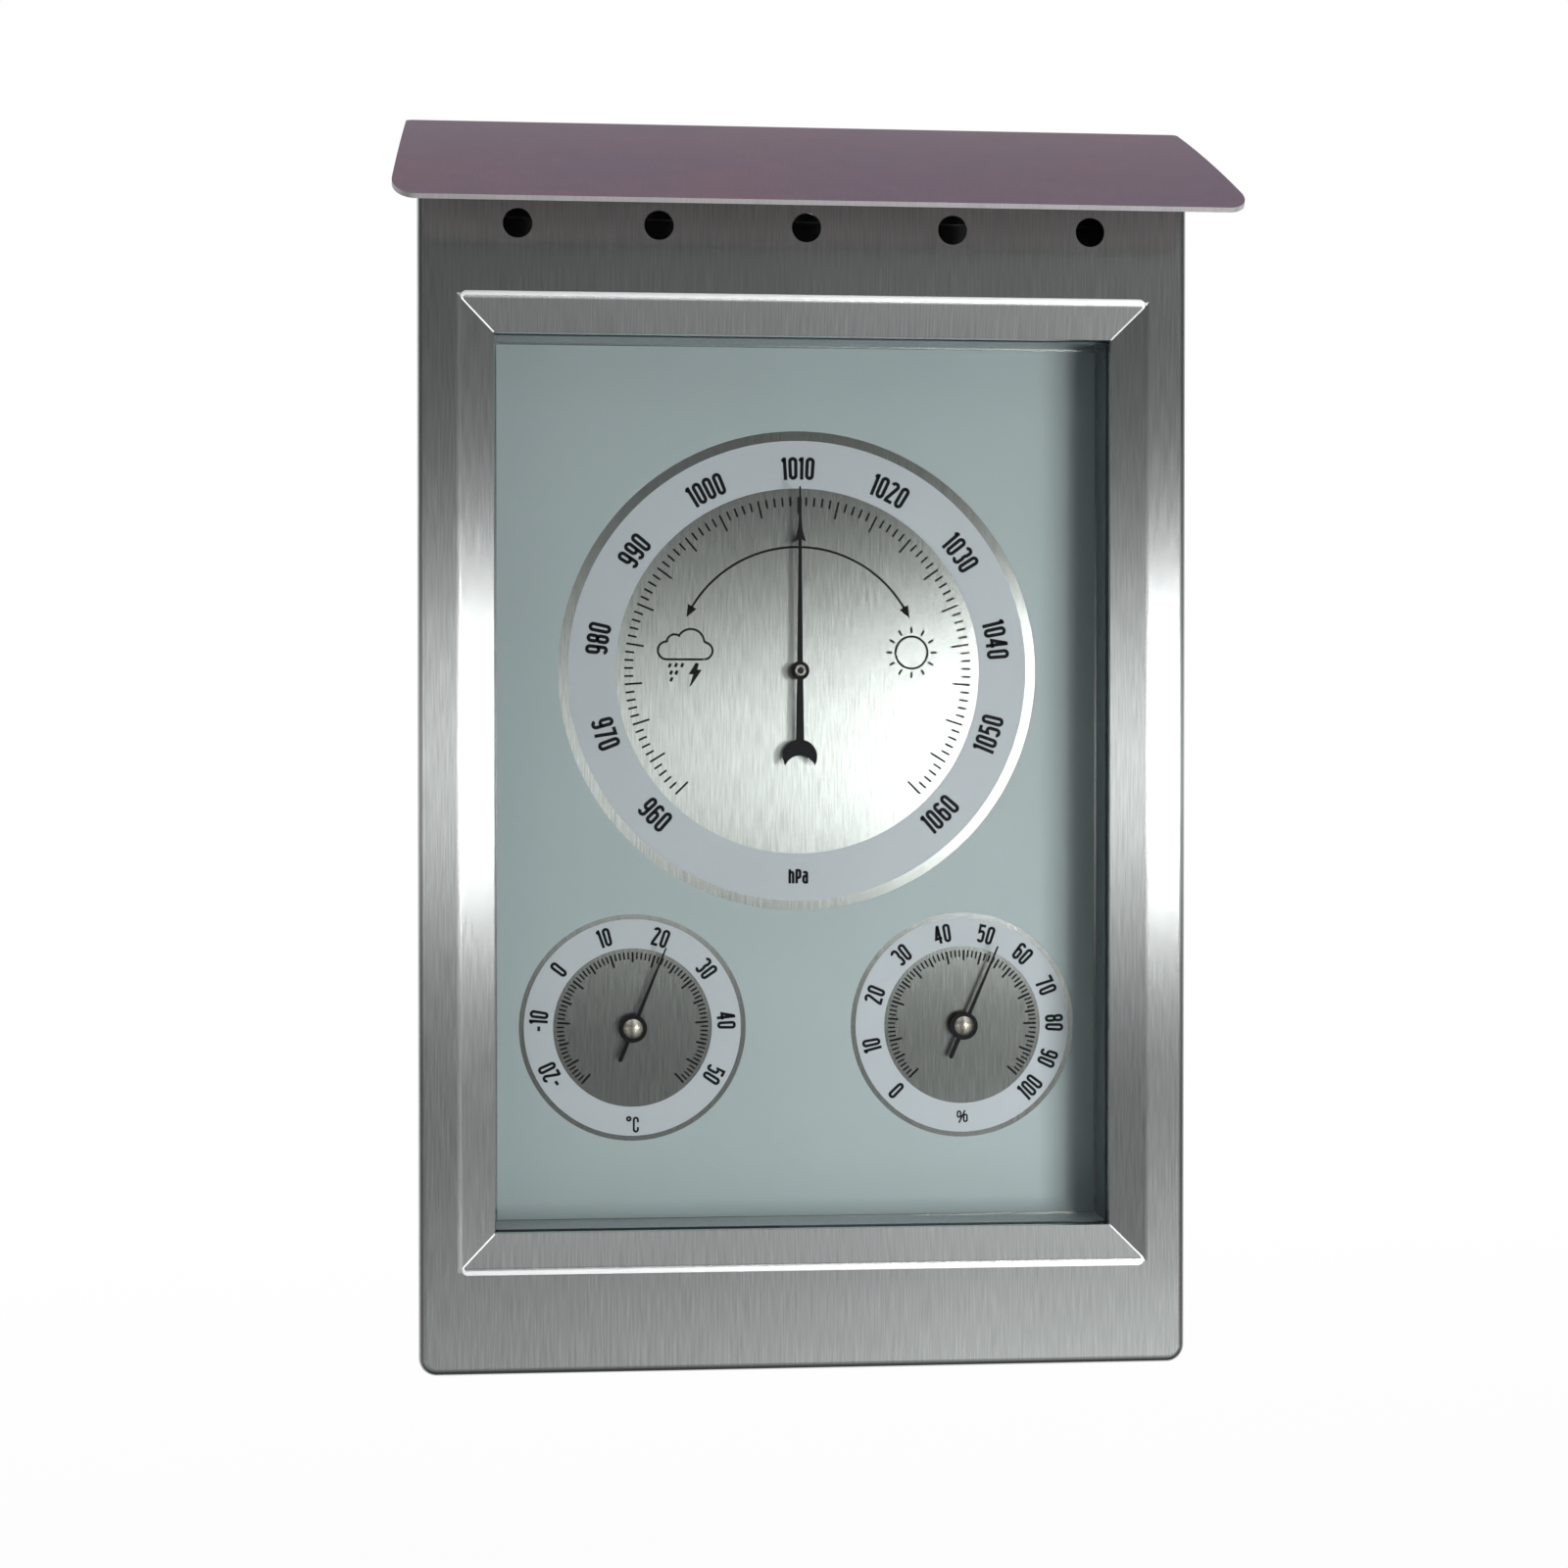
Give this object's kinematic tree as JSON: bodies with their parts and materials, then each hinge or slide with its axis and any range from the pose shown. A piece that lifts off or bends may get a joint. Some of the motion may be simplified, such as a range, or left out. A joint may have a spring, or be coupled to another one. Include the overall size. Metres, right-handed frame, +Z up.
{
  "type": "weather station",
  "caption": "Wall-hung outdoor weather station: folded steel casing with a sloping roof sheet, glazed window, barometer, thermometer and hygrometer pointers.",
  "frame": {"origin": "centre of the round entry of the hanging keyhole, on the wall face of the back plate", "axes": "+X right as seen from the front, +Y into the wall, +Z up"},
  "size_m": [0.227, 0.092, 0.352],
  "materials": {
    "casing_steel": "vertically brushed stainless steel",
    "roof_steel": "brushed stainless steel with a mauve tone",
    "back_steel": "matt galvanised steel sheet",
    "fastener_steel": "bright turned steel",
    "gasket_rubber": "matt black rubber",
    "window_glass": "clear float glass",
    "spacer_black": "matt dark plastic",
    "dial_metal": "vertically brushed aluminium",
    "enamel_blue": "matt grey-blue enamel print",
    "band_enamel": "matt pale grey-blue enamel print",
    "pointer_black": "satin black paint",
    "hub_metal": "polished nickel",
    "movement_brass": "satin brass",
    "movement_steel": "fine ground steel",
    "spring_steel": "blued spring steel",
    "capsule_copper": "polished copper alloy",
    "bimetal": "rolled bimetal strip",
    "hygro_strip": "metal strip with a moisture-sensitive film"
  },
  "bodies": {
    "root": {"front_casing": "casing_steel", "roof_sheet": "roof_steel", "back_plate": "back_steel", "back_plate_screws": "fastener_steel", "clinch_nuts": "fastener_steel", "casing_studs": "fastener_steel", "plate_nuts": "fastener_steel", "glass_gasket": "gasket_rubber", "glass_pane": "window_glass", "spacer_frame": "spacer_black", "dial_plate": "dial_metal", "dial_print": "enamel_blue", "scale_bands": "band_enamel", "dial_bushes": "movement_brass", "hairspring": "spring_steel", "arbor_cock": "movement_brass", "movement_bridge": "movement_brass", "movement_studs": "movement_steel", "movement_sleeves": "movement_brass", "movement_nuts": "fastener_steel", "movement_base": "movement_brass", "aneroid_capsule": "capsule_copper", "capsule_post": "movement_steel", "leaf_spring": "spring_steel", "spring_post": "movement_brass", "spring_screw": "fastener_steel", "rocker_bracket": "movement_brass", "thermometer_coil": "bimetal", "thermometer_bracket": "movement_steel", "hygrometer_coil": "hygro_strip", "hygrometer_bracket": "movement_steel"},
    "baro_hand": {"barometer_pointer": "pointer_black", "barometer_hub_cap": "hub_metal", "pointer_arbor": "spring_steel"},
    "rocker": {"rocking_shaft": "movement_steel"},
    "lever": {"main_lever": "movement_brass"},
    "link": {"lever_link": "movement_steel"},
    "chain": {"drive_chain": "movement_steel"},
    "adjuster": {"adjusting_screw": "movement_brass"},
    "thermo_hand": {"thermometer_pointer": "pointer_black", "thermometer_hub": "hub_metal", "thermometer_arbor": "movement_brass"},
    "hygro_hand": {"hygrometer_pointer": "pointer_black", "hygrometer_hub": "hub_metal", "hygrometer_arbor": "movement_brass"}
  },
  "joints": [
    {"name": "barometer_turn", "type": "hinge", "parent": "root", "child": "baro_hand", "pos_m": [0, -0.04353, -0.1087], "axis": [0, 1, 0], "range_deg": [-135, 135], "stiffness_Nm_per_rad": 0.001},
    {"name": "rocker_swing", "type": "hinge", "parent": "root", "child": "rocker", "pos_m": [-0.034, -0.01703, -0.1087], "axis": [0, 0, 1], "range_deg": [-13.2, 13.2]},
    {"name": "lever_tilt", "type": "hinge", "parent": "root", "child": "lever", "pos_m": [0.031, -0.02493, -0.1167], "axis": [0, 0, 1], "range_deg": [-0.98, 0.98]},
    {"name": "link_travel", "type": "slide", "parent": "root", "child": "link", "axis": [0, 1, 0], "range_m": [-0.00103, 0.00103]},
    {"name": "chain_travel", "type": "slide", "parent": "root", "child": "chain", "axis": [1, 0, 0], "range_m": [-0.00378, 0.00378]},
    {"name": "adjuster_turn", "type": "hinge", "parent": "root", "child": "adjuster", "pos_m": [0.0345, -0.00873, -0.1167], "axis": [0, 1, 0], "range_deg": [-360, 360]},
    {"name": "thermometer_turn", "type": "hinge", "parent": "root", "child": "thermo_hand", "pos_m": [-0.0465, -0.04183, -0.2084], "axis": [0, 1, 0], "range_deg": [-159.9, 115.3], "stiffness_Nm_per_rad": 0.0003},
    {"name": "hygrometer_turn", "type": "hinge", "parent": "root", "child": "hygro_hand", "pos_m": [0.0465, -0.04183, -0.2084], "axis": [0, 1, 0], "range_deg": [-159.3, 113.7], "stiffness_Nm_per_rad": 0.0003}
  ],
  "couplings": [
    {"joint": "rocker_swing", "follows": "barometer_turn", "ratio": 0.09723},
    {"joint": "lever_tilt", "follows": "barometer_turn", "ratio": -0.00717},
    {"joint": "link_travel", "follows": "barometer_turn", "m_per_rad": 0.000434},
    {"joint": "chain_travel", "follows": "barometer_turn", "m_per_rad": 0.0016}
  ]
}
